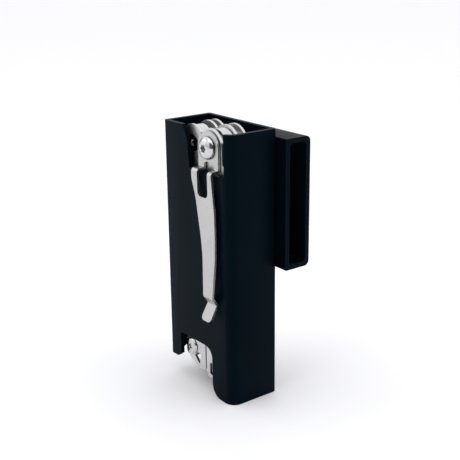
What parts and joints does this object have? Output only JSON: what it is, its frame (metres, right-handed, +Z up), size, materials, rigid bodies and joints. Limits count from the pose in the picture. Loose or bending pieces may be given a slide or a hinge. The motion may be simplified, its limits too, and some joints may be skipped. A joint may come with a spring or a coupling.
{
  "type": "multi tool in belt holster",
  "caption": "Closed folding multi tool with a pocket clip, hung in a black plastic belt holster with an open top and a rear belt loop.",
  "frame": {"origin": "centre of the bounding box in plan, at the level of the holster's lowest edge", "axes": "+Z up along the holster and out of its open top, -Y out of the front face that carries the clip, +X to the right when looking at that face"},
  "size_m": [0.0492, 0.0368, 0.1026],
  "materials": {
    "black_plastic": "fine satin moulded or printed plastic",
    "satin_steel": "satin stainless sheet",
    "polished_steel": "tumbled and polished stainless",
    "blade_steel": "ground stainless blade",
    "dark_steel": "black oxide"
  },
  "bodies": {
    "holster": {"holster_shell": "black_plastic", "belt_loop": "black_plastic", "loop_screw_left": "satin_steel", "loop_screw_right": "satin_steel", "loop_nut_left": "satin_steel", "loop_nut_right": "satin_steel"},
    "tool": {"handle_channel_left": "satin_steel", "handle_channel_right": "satin_steel", "handle_cover_left": "satin_steel", "handle_cover_right": "satin_steel", "handle_pivot_left_post": "polished_steel", "handle_pivot_left_screw": "polished_steel", "handle_pivot_right_post": "polished_steel", "handle_pivot_right_screw": "polished_steel", "implement_pivot_left_post": "polished_steel", "implement_pivot_left_screw": "polished_steel", "implement_pivot_right_post": "polished_steel", "implement_pivot_right_screw": "polished_steel", "tang_spacer_left": "polished_steel", "tang_spacer_right": "polished_steel", "cover_spacer_left": "polished_steel", "cover_spacer_right": "polished_steel", "plier_half_front": "polished_steel", "plier_half_rear": "polished_steel", "jaw_rivet": "satin_steel", "knife_blade": "blade_steel", "saw_blade": "blade_steel", "flat_driver": "blade_steel", "cross_driver": "blade_steel", "wood_file": "blade_steel", "can_opener": "blade_steel", "small_driver": "blade_steel", "implement_spring_left": "dark_steel", "implement_spring_right": "dark_steel", "clip_base": "satin_steel"},
    "clip": {"clip_tongue": "satin_steel"}
  },
  "joints": [
    {"name": "tool_draw", "type": "slide", "parent": "holster", "child": "tool", "axis": [0, 0, 1], "range_m": [0, 0.1]},
    {"name": "clip_flex", "type": "hinge", "parent": "tool", "child": "clip", "pos_m": [0.0053, -0.01205, 0.0894], "axis": [-1, 0, 0], "range_deg": [0, 6], "stiffness_Nm_per_rad": 5, "springref_deg": -1.72}
  ]
}
